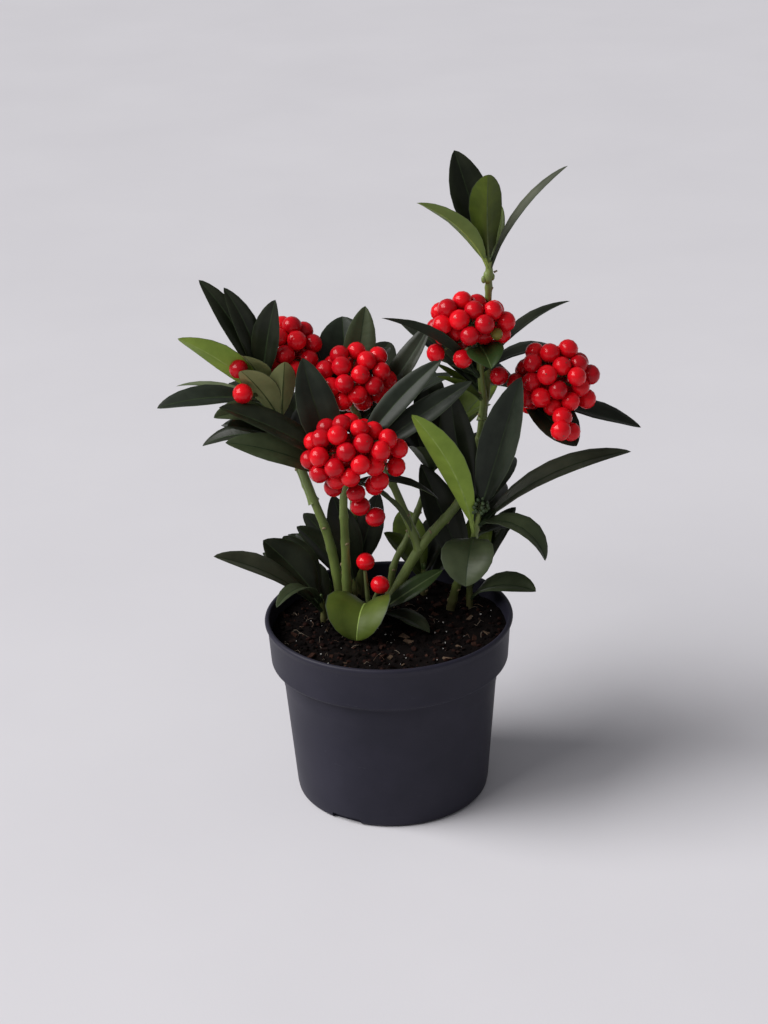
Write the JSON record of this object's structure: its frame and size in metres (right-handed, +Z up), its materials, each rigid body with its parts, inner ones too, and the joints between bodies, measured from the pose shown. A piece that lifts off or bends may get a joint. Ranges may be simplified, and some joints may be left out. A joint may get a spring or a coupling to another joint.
{
  "type": "potted skimmia",
  "caption": "Small evergreen shrub with glossy lance-shaped leaves and clusters of red berries, growing on several stems from a round nursery pot of compost.",
  "frame": {"origin": "middle of the pot's flat underside", "axes": "+Z up, -Y towards the front of the plant, +X to the right as seen from the front"},
  "size_m": [0.2169, 0.1493, 0.298],
  "materials": {
    "pot": "matt moulded plastic, faintly scuffed",
    "compost": "loose dark potting compost with bark and grit",
    "bark": "smooth green bark",
    "leaf": "glossy leathery leaf",
    "berry": "shiny smooth skin"
  },
  "bodies": {
    "root": {"bough_centre": "bark", "bough_left": "bark", "bough_right": "bark", "bough_top": "bark", "compost": "compost", "foliage_back": "leaf", "foliage_back_right": "leaf", "foliage_centre": "leaf", "foliage_crown": "leaf", "foliage_far_right": "leaf", "foliage_foot_back": "leaf", "foliage_foot_centre": "leaf", "foliage_foot_front": "leaf", "foliage_foot_left": "leaf", "foliage_foot_middle": "leaf", "foliage_foot_right": "leaf", "foliage_front": "leaf", "foliage_left": "leaf", "foliage_lower_left": "leaf", "foliage_right": "leaf", "foliage_top": "leaf", "pot": "pot", "stem_back": "bark", "stem_back_right": "bark", "stem_far_right": "bark", "stem_left": "bark", "stem_middle": "bark", "stem_right": "bark"}
  },
  "joints": []
}
